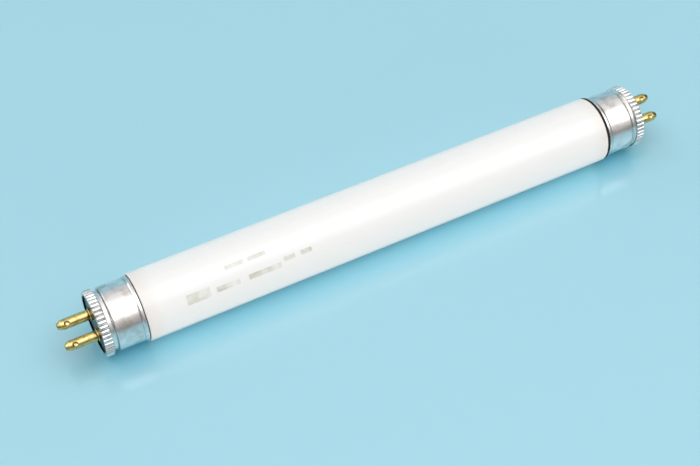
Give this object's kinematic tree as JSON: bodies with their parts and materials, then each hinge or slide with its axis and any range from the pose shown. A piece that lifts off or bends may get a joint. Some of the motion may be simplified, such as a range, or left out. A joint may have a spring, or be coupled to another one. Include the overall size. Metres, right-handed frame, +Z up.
{
  "type": "miniature fluorescent tube",
  "caption": "Straight miniature fluorescent tube: sealed white glass with a fluted aluminium cap and brass contact pins at each end.",
  "frame": {"origin": "middle of the lamp, on its axis, halfway between the two end faces", "axes": "+X along the lamp's axis, +Z up, turned about X as the lamp lies in the picture, so the line through each pair of pins is 28.5 degrees from level"},
  "size_m": [0.15, 0.0154, 0.0154],
  "materials": {
    "white_glass": "clear soda-lime glass, coated white inside",
    "cap_aluminium": "bright drawn",
    "insulator_phenolic": "pressed",
    "pin_brass": "drawn, bright",
    "basing_cement": "cured resin cement",
    "lead_wire": "drawn wire"
  },
  "bodies": {
    "root": {"glass_tube": "white_glass", "left_cap": "cap_aluminium", "left_insulator": "insulator_phenolic", "left_cement": "basing_cement", "left_upper_pin": "pin_brass", "left_upper_wire": "lead_wire", "left_lower_pin": "pin_brass", "left_lower_wire": "lead_wire", "right_cap": "cap_aluminium", "right_insulator": "insulator_phenolic", "right_cement": "basing_cement", "right_upper_pin": "pin_brass", "right_upper_wire": "lead_wire", "right_lower_pin": "pin_brass", "right_lower_wire": "lead_wire"}
  },
  "joints": []
}
